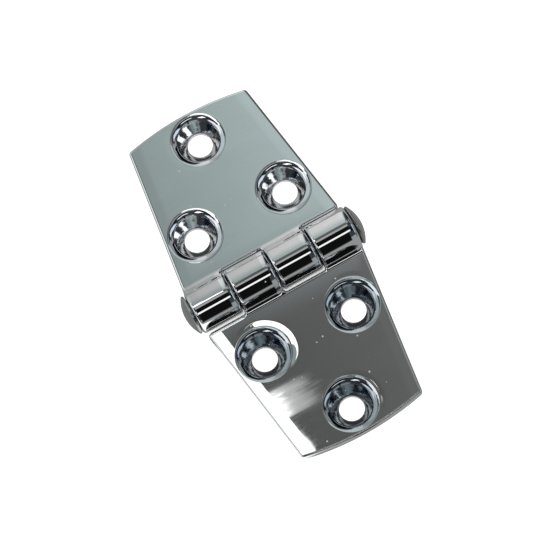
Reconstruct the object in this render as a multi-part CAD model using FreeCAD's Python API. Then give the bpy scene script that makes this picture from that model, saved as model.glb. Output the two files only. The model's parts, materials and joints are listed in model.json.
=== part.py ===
import FreeCAD, Part
import math
import os
from FreeCAD import Vector

# A door hinge pressed from polished stainless sheet. Two like leaves turn on one riveted pin. X runs along the
# pin, Y along the open hinge and Z up. The ground is the face that the hinge is screwed to: the bottoms of the
# barrel and of the six screw cups lie on it. All sizes are in millimetres.

# The leaf's outline
leaf_reach = 40.0          # from the pin's axis to the crown of the end arc
barrel_length = 38.0       # over all the knuckles
root_inset = 0.35          # on each side, from the roll's end in to where the tapered side starts
end_width = 28.4           # between the two corners of the end arc
end_crown = 1.6            # how far the end arc bows out past its corners
corner_radius = 0.8        # the outline's own corners, seen from above
root_step = 1.5            # the length over which the square end of the roll slants in to that width
root_radius = 6.0          # at both ends of the slant
sheet = 2.0                # thickness of the sheet

# The roll round the pin
pin_diameter = 5.5
pin_clearance = 0.05       # between the pin and the bore, on the radius
knuckle_count = 4
knuckle_gap = 0.2          # side play between neighbours
leaf_drop = 0.2            # the leaf's top face below the pin's axis
bend_radius = 1.5          # where the top face turns up into the roll
seam_gap = 0.3             # between the roll's end and the sheet that it comes back to
slot_clearance = 0.45      # from the barrel to the wall of the slot that it turns in
slot_corner = 0.5

# The pin's heads
head_overhang = 1.65       # how far a head stands out past the pin, on the radius
head_rim = 0.5             # height of the head under its dome
head_dome = 1.3
head_clearance = 0.15      # between a head and the end of the barrel
head_edge = 0.2            # the rounded edge of the dome, and the chamfer on the side of the barrel

# The screw cups, three to a leaf on one circle, pressed down out of the sheet
cup_count = 3
screw_hole = 5.4
dish_diameter = 10.1       # the dish's cone where it meets the leaf's top face
dish_depth = 3.4           # from the top face to the rim of the hole
shoulder_radius = 1.8      # the dish's rounded lip
rim_radius = 0.5           # the rounded rim of the hole
cup_wall = 1.6             # across the sloping wall
cup_blend = 0.6            # where the cup's outside runs into the leaf's underside
foot_edge = 0.4            # round the outside of the cup's flat foot
end_land = 0.05            # left flat between the last cup and the rounded edge of the end arc
side_land = 0.1            # the same at the tapered sides
root_land = 2.8            # from the bend to the lip of the nearest dish, at least

# Edges of the sheet
polished_edge = 0.6        # round the face that shows
back_edge = 0.2            # the hidden face's edges are only broken, by this much

# The barrel, and the leaf's heights beside it
bore_radius = pin_diameter / 2 + pin_clearance
barrel_radius = bore_radius + sheet
pin_height = barrel_radius
top_height = pin_height - leaf_drop
under_height = top_height - sheet
half_length = barrel_length / 2
pitch = (barrel_length + knuckle_gap) / knuckle_count
slot_wall = barrel_radius + slot_clearance

# The bend's centre is as far from the pin as lets its arc run into the barrel's without a corner
bend_rise = bend_radius - leaf_drop
bend_reach = math.sqrt((barrel_radius + bend_radius) ** 2 - bend_rise ** 2)
bend_height = pin_height + bend_rise
bend_tangent = math.degrees(math.atan2(bend_rise, bend_reach))

# The tapered side
chord_reach = leaf_reach - end_crown
half_root = half_length - root_inset
side_slope = (half_root - end_width / 2) / (chord_reach - slot_wall)
side_secant = math.hypot(1, side_slope)

# The cup's section, as radii round the hole's axis
hole_radius = screw_hole / 2
lip_radius = dish_diameter / 2
rim_height = top_height - dish_depth
cup_slope = math.atan2(dish_depth, lip_radius - hole_radius)
wall_across = cup_wall / math.sin(cup_slope)
foot_radius = hole_radius + wall_across - rim_height / math.tan(cup_slope)
wall_top_radius = foot_radius + under_height / math.tan(cup_slope)
lip_reach = lip_radius + shoulder_radius * math.tan(cup_slope / 2)
blend_reach = wall_top_radius + cup_blend * math.tan(cup_slope / 2)
cup_reach = max(lip_reach + polished_edge, blend_reach + back_edge)

# The circle of holes is as large as both the leaf's width and its length leave room for
first_hole = leaf_reach - cup_reach - end_land
pair_across = math.cos(math.pi / 6)
pair_back = 1 + math.sin(math.pi / 6)
width_there = half_root - side_slope * (first_hole - slot_wall)
circle_by_width = (width_there - (cup_reach + side_land) * side_secant) / (pair_across - pair_back * side_slope)
circle_by_length = (first_hole - bend_reach - root_land - lip_reach) / pair_back
cup_circle_radius = min(circle_by_width, circle_by_length)
cup_circle_reach = first_hole - cup_circle_radius

# What is cut away is a block that reaches past the sheet by this much
over = 1.0
block_height = 2 * barrel_radius + 2 * over


def polar(centre_y, centre_z, radius, degrees):
    """A point in the YZ plane, by its distance and direction from a centre. Zero degrees is along +Y."""
    angle = math.radians(degrees)
    return Vector(0, centre_y + radius * math.cos(angle), centre_z + radius * math.sin(angle))


def line(first, last):
    return Part.LineSegment(first, last).toShape()


def arc(centre_y, centre_z, radius, start, end):
    """A circular edge in the YZ plane, from one direction to another."""
    first = polar(centre_y, centre_z, radius, start)
    middle = polar(centre_y, centre_z, radius, (start + end) / 2)
    last = polar(centre_y, centre_z, radius, end)
    return Part.Arc(first, middle, last).toShape()


def roll_end():
    """The direction in which the roll stops, one seam gap short of the sheet that it comes back to."""
    reach = bend_radius + sheet + seam_gap
    span = barrel_radius + bend_radius
    across = (barrel_radius ** 2 + span ** 2 - reach ** 2) / (2 * barrel_radius * span)
    return 360 + bend_tangent - math.degrees(math.acos(across))


def sheet_section():
    """The bent sheet seen along the pin: flat leaf, bend up, then once round the pin and back under itself."""
    end = roll_end()
    turn = 180 + bend_tangent
    edges = [
        line(Vector(0, leaf_reach, under_height), Vector(0, leaf_reach, top_height)),
        line(Vector(0, leaf_reach, top_height), Vector(0, bend_reach, top_height)),
        arc(bend_reach, bend_height, bend_radius, 270, turn),
        arc(0, pin_height, barrel_radius, bend_tangent, end),
        line(polar(0, pin_height, barrel_radius, end), polar(0, pin_height, bore_radius, end)),
        arc(0, pin_height, bore_radius, end, bend_tangent),
        arc(bend_reach, bend_height, bend_radius + sheet, turn, 270),
        line(Vector(0, bend_reach, under_height), Vector(0, leaf_reach, under_height)),
    ]
    return Part.Face(Part.Wire(edges))


def upright_edges(solid, x=None, y=None):
    """The straight edges along Z, which are the corners seen from above, or only the one at a place."""
    found = []
    for edge in solid.Edges:
        middle = edge.CenterOfMass
        upright = abs(edge.tangentAt(edge.FirstParameter).z) > 1 - 1e-6
        if upright and (x is None or abs(middle.x - x) < 1e-6) and (y is None or abs(middle.y - y) < 1e-6):
            found.append(edge)
    return found


def rounded(before, corner, after, radius):
    """A corner of an outline as a tangent arc, and the points where the arc starts and ends."""
    back = (before - corner).normalize()
    ahead = (after - corner).normalize()
    half_turn = (math.pi - back.getAngle(ahead)) / 2
    inward = (back + ahead).normalize()
    start = corner + back * (radius * math.tan(half_turn))
    end = corner + ahead * (radius * math.tan(half_turn))
    middle = corner + inward * (radius / math.cos(half_turn) - radius)
    return start, Part.Arc(start, middle, end).toShape(), end


def outline_block():
    """The leaf's outline seen from above, standing past the sheet above and below.

    The roll's end is square on the left, and slants in to the tapered side. On the right the tapered side
    runs on past the end slot."""
    back = -barrel_radius - over
    end_left = Vector(-end_width / 2, chord_reach, -over)
    end_right = Vector(end_width / 2, chord_reach, -over)
    back_left = Vector(-half_length, back, -over)
    back_right = Vector(half_root + side_slope * (slot_wall - back), back, -over)
    slant_start = Vector(-half_length, slot_wall - root_step, -over)
    slant_end = Vector(-half_root, slot_wall, -over)
    first_start, first_arc, first_end = rounded(back_left, slant_start, slant_end, root_radius)
    second_start, second_arc, second_end = rounded(slant_start, slant_end, end_left, root_radius)
    edges = [
        line(back_left, first_start),
        first_arc,
        line(first_end, second_start),
        second_arc,
        line(second_end, end_left),
        Part.Arc(end_left, Vector(0, leaf_reach, -over), end_right).toShape(),
        line(end_right, back_right),
        line(back_right, back_left),
    ]
    block = Part.Face(Part.Wire(edges)).extrude(Vector(0, 0, block_height))
    return block.makeFillet(corner_radius, upright_edges(block, y=chord_reach))


def slot_block(index):
    """What is cut away where one of the other leaf's knuckles turns. The end slot runs out at the side."""
    back = -barrel_radius - 2 * over
    left = -half_length + index * pitch - knuckle_gap
    right = left + pitch + knuckle_gap
    open_end = index == knuckle_count - 1
    if open_end:
        right = half_length + 2 * over
    block = Part.makeBox(right - left, slot_wall - back, block_height, Vector(left, back, -over))
    corners = upright_edges(block, x=left, y=slot_wall)
    if not open_end:
        corners += upright_edges(block, x=right, y=slot_wall)
    return block.makeFillet(slot_corner, corners)


def lies_on_skin(face, height, radii):
    """Whether a face belongs to the flat at one height, or to the rolls of given radii that run on from it."""
    surface = face.Surface
    if isinstance(surface, Part.Plane):
        return abs(abs(surface.Axis.z) - 1) < 1e-6 and abs(surface.Position.z - height) < 1e-6
    if isinstance(surface, Part.Cylinder):
        return abs(surface.Axis.x) > 1 - 1e-6 and any(abs(surface.Radius - radius) < 1e-6 for radius in radii)
    return False


def skin_edges(solid, height, radii):
    """The edges where one side of the sheet, flat and rolled alike, meets its cut walls."""
    edges = []
    for edge in solid.Edges:
        faces = solid.ancestorsOfType(edge, Part.Face)
        if sum(lies_on_skin(face, height, radii) for face in faces) == 1:
            edges.append(edge)
    return edges


def bent_sheet():
    """The leaf with its knuckles, cut and rolled, its edges polished, before the screw cups are pressed."""
    blank = sheet_section().extrude(Vector(barrel_length, 0, 0))
    blank.translate(Vector(-half_length, 0, 0))
    blank = blank.common(outline_block())
    for index in range(1, knuckle_count, 2):
        blank = blank.cut(slot_block(index))
    blank = blank.makeFillet(corner_radius, upright_edges(blank, x=half_root, y=slot_wall))
    blank = blank.makeFillet(polished_edge, skin_edges(blank, top_height, [bend_radius, barrel_radius]))
    hidden = skin_edges(blank, under_height, [bend_radius + sheet, bore_radius])
    return blank.makeChamfer(back_edge, hidden)


def turned(points, x, y):
    """The solid that an outline of (radius, height) points makes when it turns round a hole's axis."""
    corners = [Vector(radius, 0, height) for radius, height in points]
    edges = [line(first, last) for first, last in zip(corners, corners[1:] + corners[:1])]
    solid = Part.Face(Part.Wire(edges)).revolve(Vector(0, 0, 0), Vector(0, 0, 1), 360)
    solid.translate(Vector(x, y, 0))
    return solid


def round_ring(solid, edge_radius, x, y, radius, height):
    """Rounds the circle of one radius at one height round a hole's axis."""
    rings = []
    for edge in solid.Edges:
        curve = edge.Curve
        if isinstance(curve, Part.Circle) and abs(curve.Radius - radius) < 1e-4:
            if curve.Center.distanceToPoint(Vector(x, y, height)) < 1e-4:
                rings.append(edge)
    return solid.makeFillet(edge_radius, rings)


def press_cup(leaf, x, y):
    """Presses one screw cup: its sloping wall and flat foot below, the round dish above and the hole."""
    inside_sheet = under_height + sheet / 2
    above = top_height + over
    wall = [(0, 0), (foot_radius, 0), (wall_top_radius, under_height), (wall_top_radius, inside_sheet),
            (0, inside_sheet)]
    dish = [(0, -over), (hole_radius, -over), (hole_radius, rim_height), (lip_radius, top_height),
            (lip_radius, above), (0, above)]
    leaf = leaf.fuse(turned(wall, x, y))
    leaf = round_ring(leaf, foot_edge, x, y, foot_radius, 0)
    leaf = round_ring(leaf, cup_blend, x, y, wall_top_radius, under_height)
    leaf = leaf.cut(turned(dish, x, y))
    leaf = round_ring(leaf, shoulder_radius, x, y, lip_radius, top_height)
    return round_ring(leaf, rim_radius, x, y, hole_radius, rim_height)


def pressed_leaf():
    """One whole leaf, reaching out along +Y. Its first hole is the one furthest from the pin."""
    leaf = bent_sheet()
    for number in range(cup_count):
        angle = math.radians(90 + number * 360 / cup_count)
        x = cup_circle_radius * math.cos(angle)
        y = cup_circle_reach + cup_circle_radius * math.sin(angle)
        leaf = press_cup(leaf, x, y)
    return leaf.Solids[0]


def riveted_pin():
    """The pin with its two domed heads, turned round its own axis."""
    pin_radius = pin_diameter / 2
    head_radius = pin_radius + head_overhang
    seat = half_length + head_clearance
    rim = seat + head_rim
    apex = rim + head_dome
    dome_radius = (head_radius ** 2 + head_dome ** 2) / (2 * head_dome)
    shoulder = math.asin(head_radius / dome_radius) / 2
    on_dome_x = apex - dome_radius * (1 - math.cos(shoulder))
    on_dome_z = dome_radius * math.sin(shoulder)
    left_dome = Part.Arc(Vector(-apex, 0, 0), Vector(-on_dome_x, 0, on_dome_z), Vector(-rim, 0, head_radius))
    right_dome = Part.Arc(Vector(rim, 0, head_radius), Vector(on_dome_x, 0, on_dome_z), Vector(apex, 0, 0))
    broken = head_radius - head_edge
    edges = [
        left_dome.toShape(),
        line(Vector(-rim, 0, head_radius), Vector(-seat - head_edge, 0, head_radius)),
        line(Vector(-seat - head_edge, 0, head_radius), Vector(-seat, 0, broken)),
        line(Vector(-seat, 0, broken), Vector(-seat, 0, pin_radius)),
        line(Vector(-seat, 0, pin_radius), Vector(seat, 0, pin_radius)),
        line(Vector(seat, 0, pin_radius), Vector(seat, 0, broken)),
        line(Vector(seat, 0, broken), Vector(seat + head_edge, 0, head_radius)),
        line(Vector(seat + head_edge, 0, head_radius), Vector(rim, 0, head_radius)),
        right_dome.toShape(),
        line(Vector(apex, 0, 0), Vector(-apex, 0, 0)),
    ]
    pin = Part.Face(Part.Wire(edges)).revolve(Vector(0, 0, 0), Vector(1, 0, 0), 360)
    rounds = [edge for edge in pin.Edges if not edge.Degenerated and isinstance(edge.Curve, Part.Circle)]
    rims = [edge for edge in rounds if abs(abs(edge.Curve.Center.x) - rim) < 1e-6]
    pin = pin.makeFillet(head_edge, rims)
    pin.translate(Vector(0, 0, pin_height))
    return pin.Solids[0]


def build_all():
    """The two leaves are one pressing, set the one way round and the other."""
    frame_leaf = pressed_leaf()
    door_leaf = frame_leaf.copy()
    door_leaf.rotate(Vector(0, 0, 0), Vector(0, 0, 1), 180)
    return {"frame_leaf": frame_leaf, "door_leaf": door_leaf, "hinge_pin": riveted_pin()}


os.makedirs("parts", exist_ok=True)
for name, solid in build_all().items():
    solid.exportStep(f"parts/{name}.step")
    print(name, "volume", round(solid.Volume, 2), "valid", solid.isValid())
print("hole circle", round(2 * cup_circle_radius, 3), "centred", round(cup_circle_reach, 3), "from the pin")
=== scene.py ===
import bpy
import json
import math
from mathutils import Matrix

# A polished stainless door hinge lying open on white card, in metres. The leaves and the pin are the frame's own
# pieces. This script gives them their finish, and sets up the floor, the light and the camera.

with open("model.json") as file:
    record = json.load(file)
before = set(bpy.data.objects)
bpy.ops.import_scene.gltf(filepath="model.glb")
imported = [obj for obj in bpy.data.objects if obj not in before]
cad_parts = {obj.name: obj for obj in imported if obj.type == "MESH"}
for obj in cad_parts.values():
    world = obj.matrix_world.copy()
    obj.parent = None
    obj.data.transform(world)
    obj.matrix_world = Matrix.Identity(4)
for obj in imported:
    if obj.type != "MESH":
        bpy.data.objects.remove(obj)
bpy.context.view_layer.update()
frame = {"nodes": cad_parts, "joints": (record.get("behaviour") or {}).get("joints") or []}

# The camera looks down on the middle of the pin from a little way off
pin_height = frame["joints"][0]["pos_m"][2]
view_distance = 0.736
view_tilt = math.radians(-17.65)
view_lean = math.radians(3.62)
view_turn = math.radians(29.99)
film_width = 36.0             # mm
picture_side = 550
pixels_per_metre = 4796
picture_shift = (1.8, -5.05)   # pixels

# The pressed leaf, in millimetres, as the finish follows it. It reaches out along +Y from the pin.
cup_circle_reach = 21.135      # from the pin to the middle of the circle that its three holes lie on
cup_circle_radius = 12.221
lip_reach = 6.0                # from a hole's axis to where its dish starts
root_half_width = 18.65
root_reach = 5.25
side_slope = 0.137
knuckle_pitch = 9.55
barrel_half_length = 19.0
half_joint = 0.1               # half the play between two knuckles
sag_width = 1.4
edge_wash_width = 3.0
knuckle_wash_width = 1.9
far_off = 100.0                # further than anything on the hinge

# How high the marks stand that the bump gives, in metres
streak_height = 5.0e-8
scratch_height = 1.0e-8
wave_height = 1.2e-6
dish_ripple_height = 3.0e-5
rivet_ring_height = 1.6e-6
rivet_dent_height = 4.0e-5

# How rough the metal is, and what clouds of haze and the painted shade in the joints add
sheet_roughness = 0.01
haze_roughness = 0.015
joint_shade_roughness = 0.4
rod_roughness = 0.2
joint_shade_reach = 0.0008           # metres

sheet_colour = (0.77, 0.78, 0.78, 1)
rod_colour = (0.42, 0.42, 0.41, 1)
# The dark colour painted into the joints as shade
painted_joint_shade_colour = (0.03, 0.03, 0.035, 1)
dust_colour = (0.9, 0.9, 0.9, 1)

# The white card: its colour as the light finds it, its dark colour where the metal mirrors it (a painted shade),
# and how near the hinge a painted shadow darkens it
card_side = 12.0
card_colour = (0.8, 0.8, 0.8, 1)
shaded_card_colour_in_metal = (0.08, 0.08, 0.08, 1)
card_shadow_reach = 0.004

# How brightly the card glows in the metal: (millimetres from a hole's axis, level)
hole_rings = [(0.0, 0.02), (0.7, 0.02), (1.1, 0.50), (1.5, 0.0), (2.0, 0.0), (2.4, 0.70), (3.4, 0.5), (4.5, 0.32)]
ring_ramp_reach = 6.0          # how far from a hole's axis the ramp for them goes

# The tent's bands over the hinge, from the frame leaf's side across to the other: (degrees from straight up, level)
tent_bands = [
    (-90, 0.58), (-57, 0.60), (-39.5, 0.52), (-28, 0.44), (-18.0, 0.42), (-17.3, 0.112), (-5.2, 0.10),
    (-4.4, 0.46), (3.6, 0.46), (4.8, 0.006), (24.5, 0.006), (26, 1.3), (32.5, 1.3), (34, 0.006), (78, 0.006),
    (86, 0.38), (90, 0.40),
]
green_from, green_to, green_red = -35, -17.5, 0.84   # the bands between these angles have less red

# The tent away from its middle: patches one over another, each (swing, side, swing reach, side reach, softness,
# colour). Swing and side are degrees from straight up, towards -Y and +X.
tent_colour = (0.05, 0.055, 0.06, 1)
tent_patches = [
    (84, 0, 20, 30, 8, (0.34, 0.37, 0.38)),
    (-70, -28, 40, 47, 6, (0.58, 0.66, 0.68)),
    (-18, 10, 7, 13, 5, (0.42, 0.46, 0.46)),
    (-45, 62, 42, 34, 5, (0.004, 0.004, 0.008)),
    (-14, 68, 7, 33, 3, (0.34, 0.37, 0.38)),
    (3, 72, 24, 12, 7, (0.34, 0.37, 0.38)),
    (-24, 40, 10, 12, 3, (0.34, 0.37, 0.38)),
    (-24, -38, 8, 13, 3, (1.0, 1.02, 1.04)),
    (-14, -80, 46, 14, 6, (0.58, 0.61, 0.64)),
    (-14, -58, 46, 8, 6, (1.25, 1.3, 1.35)),
    (32, 42, 28, 10, 4, (0.80, 0.92, 1.05)),
    (26, 23, 12, 6, 4, (0.004, 0.008, 0.02)),
    (16, -37, 18, 5, 2, (0.004, 0.004, 0.008)),
    (25, -27, 11, 5, 1.5, (2.0, 2.0, 2.0)),
    (-13, -20, 6, 6, 2, (2.0, 2.0, 2.0)),
]

# The bright pane over the hinge
window_middle = (-0.1775, 0.35, 1.5)
window_half_size = (0.2725, 0.12, 1)
window_strength = 1.7


def add_node(tree, kind, **settings):
    node = tree.nodes.new(kind)
    for name, value in settings.items():
        setattr(node, name, value)
    return node


def feed(tree, socket, value):
    """Puts a number, a colour or another node's output on an input."""
    if isinstance(value, bpy.types.NodeSocket):
        tree.links.new(value, socket)
    else:
        socket.default_value = value


def feed_all(tree, node, values):
    for name, value in values.items():
        feed(tree, node.inputs[name], value)


def calc(tree, operation, *values):
    """One sum on values or sockets. Gives back the result's socket."""
    node = add_node(tree, "ShaderNodeMath", operation=operation)
    for socket, value in zip(node.inputs, values):
        feed(tree, socket, value)
    return node.outputs[0]


def plus(tree, first, second):
    return calc(tree, "ADD", first, second)


def minus(tree, first, second):
    return calc(tree, "SUBTRACT", first, second)


def times(tree, first, second):
    return calc(tree, "MULTIPLY", first, second)


def over(tree, first, second):
    return calc(tree, "DIVIDE", first, second)


def distance_of(tree, across, along):
    """How far off a point is that lies this far across and this far along."""
    return calc(tree, "SQRT", plus(tree, times(tree, across, across), times(tree, along, along)))


def ease(tree, value, start, end, low=0.0, high=1.0):
    """Goes smoothly from low to high while the value goes from start to end, and holds there."""
    node = add_node(tree, "ShaderNodeMapRange", interpolation_type="SMOOTHSTEP")
    feed_all(tree, node, {"Value": value, "From Min": start, "From Max": end, "To Min": low, "To Max": high})
    return node.outputs["Result"]


def vector_product(tree, first, second):
    node = add_node(tree, "ShaderNodeVectorMath", operation="MULTIPLY")
    feed(tree, node.inputs[0], first)
    feed(tree, node.inputs[1], second)
    return node.outputs[0]


def millimetres(tree, place):
    node = add_node(tree, "ShaderNodeVectorMath", operation="SCALE")
    feed(tree, node.inputs[0], place)
    feed(tree, node.inputs["Scale"], 1000.0)
    return node.outputs[0]


def split(tree, place):
    """The X, Y and Z of a place."""
    node = add_node(tree, "ShaderNodeSeparateXYZ")
    feed(tree, node.inputs[0], place)
    return node.outputs


def noise(tree, place, waves, detail=2.0):
    """Soft noise from 0 to 1 over a place in millimetres, with so many waves to a millimetre along each axis."""
    texture = add_node(tree, "ShaderNodeTexNoise")
    feed_all(tree, texture, {"Vector": vector_product(tree, place, waves), "Scale": 1.0, "Detail": detail})
    return texture.outputs["Fac"]


def colour_mix(tree, share, first, second, blend="MIX"):
    node = add_node(tree, "ShaderNodeMix", data_type="RGBA", blend_type=blend)
    feed(tree, node.inputs["Factor"], share)
    feed(tree, node.inputs[6], first)
    feed(tree, node.inputs[7], second)
    return node.outputs[2]


def ramp(tree, value, stops):
    """A colour ramp. Stops are (position, (red, green, blue))."""
    node = add_node(tree, "ShaderNodeValToRGB")
    elements = node.color_ramp.elements
    elements.remove(elements[1])     # the white stop that every new ramp ends in
    for number, (position, shade) in enumerate(stops):
        stop = elements[0] if number == 0 else elements.new(position)
        stop.position = position
        stop.color = (*shade, 1)
    feed(tree, node.inputs[0], value)
    return node.outputs["Color"]


def bump(tree, height):
    """The normal that a height in metres gives."""
    node = add_node(tree, "ShaderNodeBump")
    feed_all(tree, node, {"Strength": 1.0, "Distance": 1.0, "Height": height})
    return node.outputs[0]


def shader_mix(tree, share, first, second):
    node = add_node(tree, "ShaderNodeMixShader")
    for socket, value in zip(node.inputs, (share, first, second)):
        feed(tree, socket, value)
    return node.outputs[0]


def new_group(name, inputs, outputs):
    """A shader node group with named sockets. Inputs are (name, kind, value), outputs (name, kind)."""
    tree = bpy.data.node_groups.new(name, "ShaderNodeTree")
    for title, kind, value in inputs:
        tree.interface.new_socket(title, in_out="INPUT", socket_type="NodeSocket" + kind).default_value = value
    for title, kind in outputs:
        tree.interface.new_socket(title, in_out="OUTPUT", socket_type="NodeSocket" + kind)
    return tree, tree.nodes.new("NodeGroupInput").outputs, tree.nodes.new("NodeGroupOutput").inputs


def use_group(tree, group, values):
    node = add_node(tree, "ShaderNodeGroup", node_tree=group)
    feed_all(tree, node, values)
    return node.outputs


def new_material(name):
    material = bpy.data.materials.new(name)
    material.use_nodes = True
    material.node_tree.nodes.clear()
    return material, material.node_tree


def set_surface(tree, shader):
    output = add_node(tree, "ShaderNodeOutputMaterial")
    feed(tree, output.inputs["Surface"], shader)


def add_camera():
    turn = Matrix.Rotation(view_turn, 4, "Z")
    tilt = Matrix.Rotation(view_tilt, 4, "X")
    lean = Matrix.Rotation(view_lean, 4, "Y")
    camera = bpy.data.objects.new("camera", bpy.data.cameras.new("camera"))
    bpy.context.scene.collection.objects.link(camera)
    target = Matrix.Translation((0, 0, pin_height))
    view = (turn @ tilt @ lean).transposed()
    camera.matrix_world = target @ view @ Matrix.Translation((0, 0, view_distance))
    camera.data.sensor_width = film_width
    camera.data.lens = pixels_per_metre * view_distance * film_width / picture_side
    camera.data.shift_x = picture_shift[0] / picture_side
    camera.data.shift_y = picture_shift[1] / picture_side
    camera.data.clip_start = 0.01
    camera.data.clip_end = 50
    bpy.context.scene.camera = camera


# The finish

def polish_group():
    """What polishing leaves on steel: fine streaks along the pin, cloudy patches and dust.

    Place is in millimetres."""
    group, given, out = new_group(
        "polish",
        [("Place", "Vector", (0, 0, 0)), ("Streaks", "Float", 1.0), ("Dust", "Float", 1.0)],
        [("Height", "Float"), ("Haze", "Float"), ("Tone", "Float"), ("Dust", "Float")])
    place = given["Place"]
    streaks = noise(group, place, (0.06, 2.6, 2.6), 4.0)
    scratches = noise(group, place, (0.25, 9.0, 9.0), 2.0)
    waves = noise(group, place, (0.05, 0.12, 0.12), 1.0)
    clouds = noise(group, place, (0.12, 0.3, 0.3), 5.0)
    fine = plus(group, times(group, streaks, streak_height), times(group, scratches, scratch_height))
    fine = times(group, fine, given["Streaks"])
    feed(group, out["Height"], plus(group, fine, times(group, waves, wave_height)))
    feed(group, out["Haze"], ease(group, plus(group, clouds, times(group, streaks, 0.6)), 0.6, 1.1))
    toned = plus(group, times(group, clouds, 0.1), times(group, scratches, 0.08))
    feed(group, out["Tone"], plus(group, toned, 0.91))

    # Each cell may hold one speck of dust, and its random colour says how large and whether
    cells = add_node(group, "ShaderNodeTexVoronoi")
    feed_all(group, cells, {"Vector": place, "Scale": 0.6, "Randomness": 1.0})
    chance = add_node(group, "ShaderNodeSeparateColor")
    feed(group, chance.inputs[0], cells.outputs["Color"])
    size = times(group, chance.outputs[0], 0.14)
    speck = calc(group, "LESS_THAN", cells.outputs["Distance"], size)
    picked = calc(group, "GREATER_THAN", chance.outputs[1], 0.55)
    feed(group, out["Dust"], times(group, times(group, speck, picked), given["Dust"]))
    return group


def pressing_group():
    """How the press and the polishing wheel leave a leaf not quite flat.

    It sinks round the dishes and washes over towards its edges and its knuckles' ends. Place is in millimetres."""
    group, given, out = new_group(
        "pressing",
        [("Place", "Vector", (0, 0, 0)), ("First Sag", "Float", 0.05), ("Second Sag", "Float", 0.05),
         ("Third Sag", "Float", 0.05), ("Sag Lean", "Float", 0.0), ("Way", "Float", 1.0),
         ("Edge Wash", "Float", 0.04), ("Knuckle Wash", "Float", 0.3)],
        [("Height", "Float"), ("Dish", "Float")])
    x, y, _ = split(group, given["Place"])

    def sunk(distance, width, depth):
        """How far the face has sunk at a distance from an edge, if it bends down by depth over the last width."""
        share = minus(group, 1.0, over(group, distance, width))
        share = calc(group, "MINIMUM", calc(group, "MAXIMUM", share, 0.0), 1.0)
        return times(group, times(group, share, share), depth)

    depth = 0.0
    nearest = far_off
    for number, sag in enumerate(("First Sag", "Second Sag", "Third Sag")):
        angle = math.radians(90 + 120 * number)
        across = minus(group, x, cup_circle_radius * math.cos(angle))
        across = plus(group, across, given["Sag Lean"])
        along = minus(group, y, cup_circle_reach + cup_circle_radius * math.sin(angle))
        along = plus(group, along, times(group, given["Sag Lean"], 0.5))
        from_hole = distance_of(group, across, along)
        from_lip = minus(group, from_hole, lip_reach)
        # A dish's shoulder sinks on its -X side only
        towards = over(group, plus(group, across, times(group, along, 0.5)), from_hole)
        sag_depth = times(group, given[sag], ease(group, towards, 0.1, -0.9))
        depth = plus(group, depth, sunk(from_lip, sag_width, sag_depth))
        nearest = calc(group, "MINIMUM", nearest, from_lip)

    side = minus(group, root_half_width + side_slope * root_reach, times(group, y, side_slope))
    from_side = minus(group, side, calc(group, "ABSOLUTE", x))
    depth = plus(group, depth, sunk(from_side, edge_wash_width, given["Edge Wash"]))

    # Counted in knuckles from the barrel's end, a place's fraction says how near its own knuckle's end is
    knuckles = over(group, plus(group, x, barrel_half_length + half_joint), knuckle_pitch)
    passed = calc(group, "FRACT", times(group, knuckles, given["Way"]))
    from_joint = times(group, minus(group, 1.0, passed), knuckle_pitch)
    crown = sunk(from_joint, knuckle_wash_width, given["Knuckle Wash"])
    depth = plus(group, depth, times(group, crown, ease(group, y, 5.6, 5.0)))

    feed(group, out["Height"], times(group, depth, -0.001))
    feed(group, out["Dish"], ease(group, nearest, 0.2, -0.6))
    return group


def leaf_material(name, way, sags, sag_lean, dish_haze, painted_dish_shade, dust, polish, pressing):
    """Mirror-polished sheet. Way is 1 for the leaf that reaches out along +Y, and -1 for the other."""
    material, tree = new_material(name)
    coordinates = add_node(tree, "ShaderNodeTexCoord")
    place = millimetres(tree, vector_product(tree, coordinates.outputs["Object"], (way, way, 1.0)))
    marks = use_group(tree, polish, {"Place": place, "Dust": dust})
    shape = use_group(tree, pressing, {"Place": place, "First Sag": sags[0], "Second Sag": sags[1],
                                       "Third Sag": sags[2], "Sag Lean": sag_lean, "Way": way})
    ripple = times(tree, noise(tree, place, (0.55, 0.55, 0.9), 1.5), shape["Dish"])
    height = plus(tree, marks["Height"], shape["Height"])
    height = plus(tree, height, times(tree, ripple, dish_ripple_height))

    # Painted shade in the joints: they darken, and grow rougher, where less of the sky is open
    gap = add_node(tree, "ShaderNodeAmbientOcclusion", samples=6)
    feed(tree, gap.inputs["Distance"], joint_shade_reach)
    joint_shade = ease(tree, gap.outputs["AO"], 0.6, 0.3)
    haze = plus(tree, times(tree, marks["Haze"], haze_roughness), times(tree, shape["Dish"], dish_haze))
    haze = plus(tree, haze, times(tree, joint_shade, joint_shade_roughness))
    tone = colour_mix(tree, 1.0, sheet_colour, marks["Tone"], "MULTIPLY")
    # Painted shade: the dishes are darkened and tinted, much more on the door leaf than on the frame leaf
    tone = colour_mix(tree, shape["Dish"], tone, painted_dish_shade, "MULTIPLY")
    tone = colour_mix(tree, joint_shade, tone, painted_joint_shade_colour)

    # A speck of dust is pale, and dull right through
    tone = colour_mix(tree, marks["Dust"], tone, dust_colour)
    haze = plus(tree, haze, marks["Dust"])
    steel = add_node(tree, "ShaderNodeBsdfPrincipled")
    feed_all(tree, steel, {"Base Color": tone, "Metallic": minus(tree, 1.0, marks["Dust"]),
                           "Roughness": plus(tree, haze, sheet_roughness), "Normal": bump(tree, height)})
    set_surface(tree, steel.outputs[0])
    return material


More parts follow.
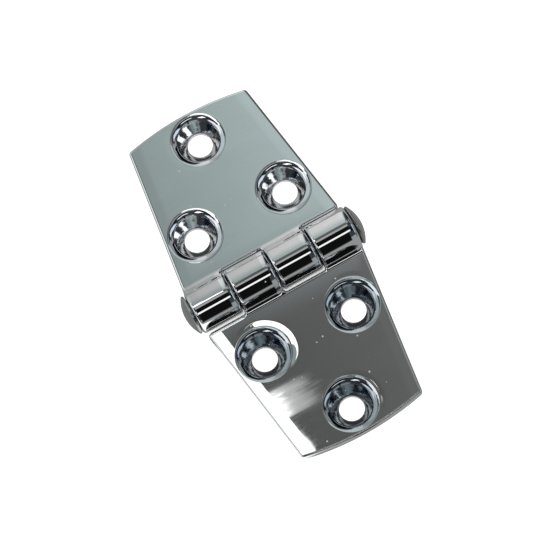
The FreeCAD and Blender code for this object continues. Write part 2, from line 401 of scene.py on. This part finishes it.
def pin_material(name, polish):
    """Satin rod, with the fine rings that riveting leaves on the heads."""
    material, tree = new_material(name)
    coordinates = add_node(tree, "ShaderNodeTexCoord")
    place = millimetres(tree, coordinates.outputs["Object"])
    marks = use_group(tree, polish, {"Place": place, "Streaks": 3.0, "Dust": 0.0})
    _, y, z = split(tree, place)
    radius = distance_of(tree, y, minus(tree, z, 1000 * pin_height))
    wobble = noise(tree, place, (0.8, 0.8, 0.8), 3.0)
    rings = calc(tree, "SINE", times(tree, plus(tree, radius, times(tree, wobble, 0.4)), 14.0))
    dents = noise(tree, place, (0.5, 0.5, 0.5), 2.0)
    height = plus(tree, times(tree, rings, rivet_ring_height), times(tree, dents, rivet_dent_height))
    height = plus(tree, height, marks["Height"])
    tone = colour_mix(tree, 1.0, rod_colour, marks["Tone"], "MULTIPLY")
    haze = times(tree, wobble, 0.14)
    steel = add_node(tree, "ShaderNodeBsdfPrincipled")
    feed_all(tree, steel, {"Base Color": tone, "Metallic": 1.0,
                           "Roughness": plus(tree, haze, rod_roughness), "Normal": bump(tree, height)})
    set_surface(tree, steel.outputs[0])
    return material


# The floor and the light

def add_panel(name, size):
    bpy.ops.object.select_all(action="DESELECT")
    bpy.ops.mesh.primitive_plane_add(size=size, location=(0, 0, 0))
    panel = bpy.context.object
    panel.name = name
    return panel


def add_floor():
    """White card under the hinge. It shows pure white in the open, and a painted shadow darkens it only close under
    the metal.

    In the metal it is dark, a painted shade, with rings of light under the holes and a bright stretch beside the
    door leaf. From below it is clear, so the hinge's back can be seen."""
    floor = add_panel("floor", card_side)
    material, tree = new_material("white card")
    path = add_node(tree, "ShaderNodeLightPath")
    open_sky = add_node(tree, "ShaderNodeAmbientOcclusion", samples=8)
    feed(tree, open_sky.inputs["Distance"], card_shadow_reach)
    # Painted shadow: to the camera the card glows white, and dims where the metal is close above it
    seen = times(tree, path.outputs["Is Camera Ray"], ease(tree, open_sky.outputs["AO"], 0.12, 0.4))
    geometry = add_node(tree, "ShaderNodeNewGeometry")
    place = millimetres(tree, geometry.outputs["Position"])

    nearest = far_off
    for number in range(6):
        angle = math.radians(30 + 60 * number)
        way = 1 if number % 2 else -1
        hole = (cup_circle_radius * math.cos(angle),
                way * cup_circle_reach + cup_circle_radius * math.sin(angle), 0)
        away = add_node(tree, "ShaderNodeVectorMath", operation="DISTANCE")
        feed(tree, away.inputs[0], place)
        feed(tree, away.inputs[1], hole)
        nearest = calc(tree, "MINIMUM", nearest, away.outputs["Value"])
    smudge = times(tree, minus(tree, noise(tree, place, (0.3, 0.3, 0.3)), 0.5), 1.4)
    stops = [(radius / ring_ramp_reach, (level, level, level)) for radius, level in hole_rings]
    rings = ramp(tree, over(tree, plus(tree, nearest, smudge), ring_ramp_reach), stops)
    x, y, _ = split(tree, place)
    blaze = times(tree, ease(tree, x, -11.0, -15.0), ease(tree, y, -6.0, -9.0))
    mirrored = times(tree, path.outputs["Is Glossy Ray"], plus(tree, rings, blaze))

    glow = add_node(tree, "ShaderNodeEmission")
    feed(tree, glow.inputs["Strength"], plus(tree, seen, mirrored))
    paper = add_node(tree, "ShaderNodeBsdfDiffuse")
    # In the metal the card takes a dark colour, a painted shade
    shade = colour_mix(tree, path.outputs["Is Glossy Ray"], card_colour, shaded_card_colour_in_metal)
    feed(tree, paper.inputs["Color"], shade)
    both = add_node(tree, "ShaderNodeAddShader")
    feed(tree, both.inputs[0], paper.outputs[0])
    feed(tree, both.inputs[1], glow.outputs[0])
    clear = add_node(tree, "ShaderNodeBsdfTransparent")
    set_surface(tree, shader_mix(tree, geometry.outputs["Backfacing"], both.outputs[0], clear.outputs[0]))
    floor.data.materials.append(material)


def patch_group():
    """Lays a soft-edged patch of one colour over the tent. Its angles are in degrees."""
    group, given, out = new_group(
        "tent patch",
        [("Under", "Color", (0, 0, 0, 1)), ("Swing", "Float", 0.0), ("Side", "Float", 0.0),
         ("Swing Middle", "Float", 0.0), ("Side Middle", "Float", 0.0), ("Swing Reach", "Float", 10.0),
         ("Side Reach", "Float", 10.0), ("Softness", "Float", 2.0), ("Colour", "Color", (1, 1, 1, 1))],
        [("Colour", "Color")])
    swing = calc(group, "ABSOLUTE", minus(group, given["Swing"], given["Swing Middle"]))
    side = calc(group, "ABSOLUTE", minus(group, given["Side"], given["Side Middle"]))
    swing = minus(group, swing, given["Swing Reach"])
    side = minus(group, side, given["Side Reach"])
    past_edge = over(group, calc(group, "MAXIMUM", swing, side), given["Softness"])
    share = ease(group, past_edge, 0.5, -0.5)
    feed(group, out["Colour"], colour_mix(group, share, given["Under"], given["Colour"]))
    return group


def add_tent():
    """The world is a white tent. The metal mirrors dark bands and lamps in it, and the camera sees it plain."""
    world = bpy.data.worlds.new("tent")
    bpy.context.scene.world = world
    world.use_nodes = True
    tree = world.node_tree
    background = tree.nodes["Background"]
    coordinates = add_node(tree, "ShaderNodeTexCoord")
    x, y, z = split(tree, coordinates.outputs["Generated"])
    swing = calc(tree, "DEGREES", calc(tree, "ARCTAN2", times(tree, y, -1.0), z))
    side = calc(tree, "DEGREES", calc(tree, "ARCSINE", x))

    group = patch_group()
    colour = tent_colour
    for swing_middle, side_middle, swing_reach, side_reach, softness, shade in tent_patches:
        colour = use_group(tree, group, {
            "Under": colour, "Swing": swing, "Side": side, "Swing Middle": swing_middle,
            "Side Middle": side_middle, "Swing Reach": swing_reach, "Side Reach": side_reach,
            "Softness": softness, "Colour": (*shade, 1)})["Colour"]

    # The bands lie over the middle only. On the frame leaf's side they brighten towards +X.
    stops = []
    for angle, level in tent_bands:
        red = green_red if green_from < angle < green_to else 1.0
        stops.append((0.5 + angle / 180, (level * red, level, level)))
    bands = ramp(tree, plus(tree, over(tree, swing, 180.0), 0.5), stops)
    brighter = ease(tree, side, 1.0, 6.0, 0.84, 1.42)
    lit = colour_mix(tree, ease(tree, swing, -4.0, -7.0), (1, 1, 1, 1), brighter)
    bands = colour_mix(tree, 1.0, bands, lit, "MULTIPLY")
    middle = ease(tree, swing, 33.0, 37.0, 5.0, 3.5)
    reach = ease(tree, swing, 33.0, 37.0, 14.0, 4.0)
    off_middle = calc(tree, "ABSOLUTE", minus(tree, side, middle))
    share = ease(tree, over(tree, off_middle, reach), 1.0, 0.65)
    mirrored = colour_mix(tree, share, colour, bands)

    path = add_node(tree, "ShaderNodeLightPath")
    soft = colour_mix(tree, path.outputs["Is Diffuse Ray"], mirrored, (0.5, 0.5, 0.5, 1))
    feed(tree, background.inputs["Color"], colour_mix(tree, path.outputs["Is Camera Ray"], soft, (1, 1, 1, 1)))
    feed(tree, background.inputs["Strength"], 1.0)


def add_window():
    """A bright pane high over the hinge, whose mirror image whites out the left side of the door leaf.

    It shines on the -X side of a stepped border, and through a ragged patch beyond it, both in millimetres."""
    pane = add_panel("window", 2)
    pane.location = window_middle
    pane.scale = window_half_size
    material, tree = new_material("window light")
    geometry = add_node(tree, "ShaderNodeNewGeometry")
    place = millimetres(tree, geometry.outputs["Position"])
    x, y, _ = split(tree, place)
    streaks = noise(tree, place, (0.05, 0.6, 0.0), 3.0)
    blots = noise(tree, place, (0.25, 0.25, 0.0), 3.0)
    x = plus(tree, x, times(tree, minus(tree, blots, 0.5), 4.0))
    border = plus(tree, ease(tree, y, 460.0, 410.0, 39.0, 43.5), ease(tree, y, 410.0, 385.0, 0.0, 11.0))
    border = plus(tree, border, ease(tree, y, 385.0, 361.0, 0.0, 5.5))
    strip = ease(tree, minus(tree, x, border), 0.6, -0.6)
    ragged = plus(tree, x, times(tree, minus(tree, streaks, 0.5), 34.0))
    patch = plus(tree, ease(tree, ragged, 62.0, 54.0, 0.0, 0.7), ease(tree, ragged, 84.0, 64.0, 0.0, 0.3))
    patch = times(tree, patch, ease(tree, y, 383.0, 385.0))
    patch = times(tree, patch, ease(tree, y, 407.0, 402.0))
    clear = add_node(tree, "ShaderNodeBsdfTransparent")
    glow = add_node(tree, "ShaderNodeEmission")
    feed_all(tree, glow, {"Color": (1, 1, 1, 1), "Strength": window_strength})
    share = calc(tree, "MAXIMUM", strip, patch)
    set_surface(tree, shader_mix(tree, share, clear.outputs[0], glow.outputs[0]))
    pane.data.materials.append(material)
    pane.visible_camera = False
    pane.visible_diffuse = False
    pane.visible_shadow = False


bpy.context.scene.view_settings.view_transform = "Standard"
add_camera()
add_floor()
add_tent()
add_window()
polish = polish_group()
pressing = pressing_group()
finishes = {
    "frame_leaf": leaf_material(
        "polished sheet", way=1.0, sags=(0.004, 0.004, 0.004), sag_lean=0.0, dish_haze=0.05,
        painted_dish_shade=(0.97, 0.98, 1.0, 1), dust=0.5, polish=polish, pressing=pressing),
    # The door leaf's dishes get a dark, bluish painted shade
    "door_leaf": leaf_material(
        "polished sheet, door side", way=-1.0, sags=(0.016, 0.004, 0.055), sag_lean=0.35, dish_haze=0.07,
        painted_dish_shade=(0.58, 0.62, 0.66, 1), dust=1.0, polish=polish, pressing=pressing),
    "hinge_pin": pin_material("satin rod", polish),
}
for name, node in frame["nodes"].items():
    node.data.materials[0] = finishes[name]
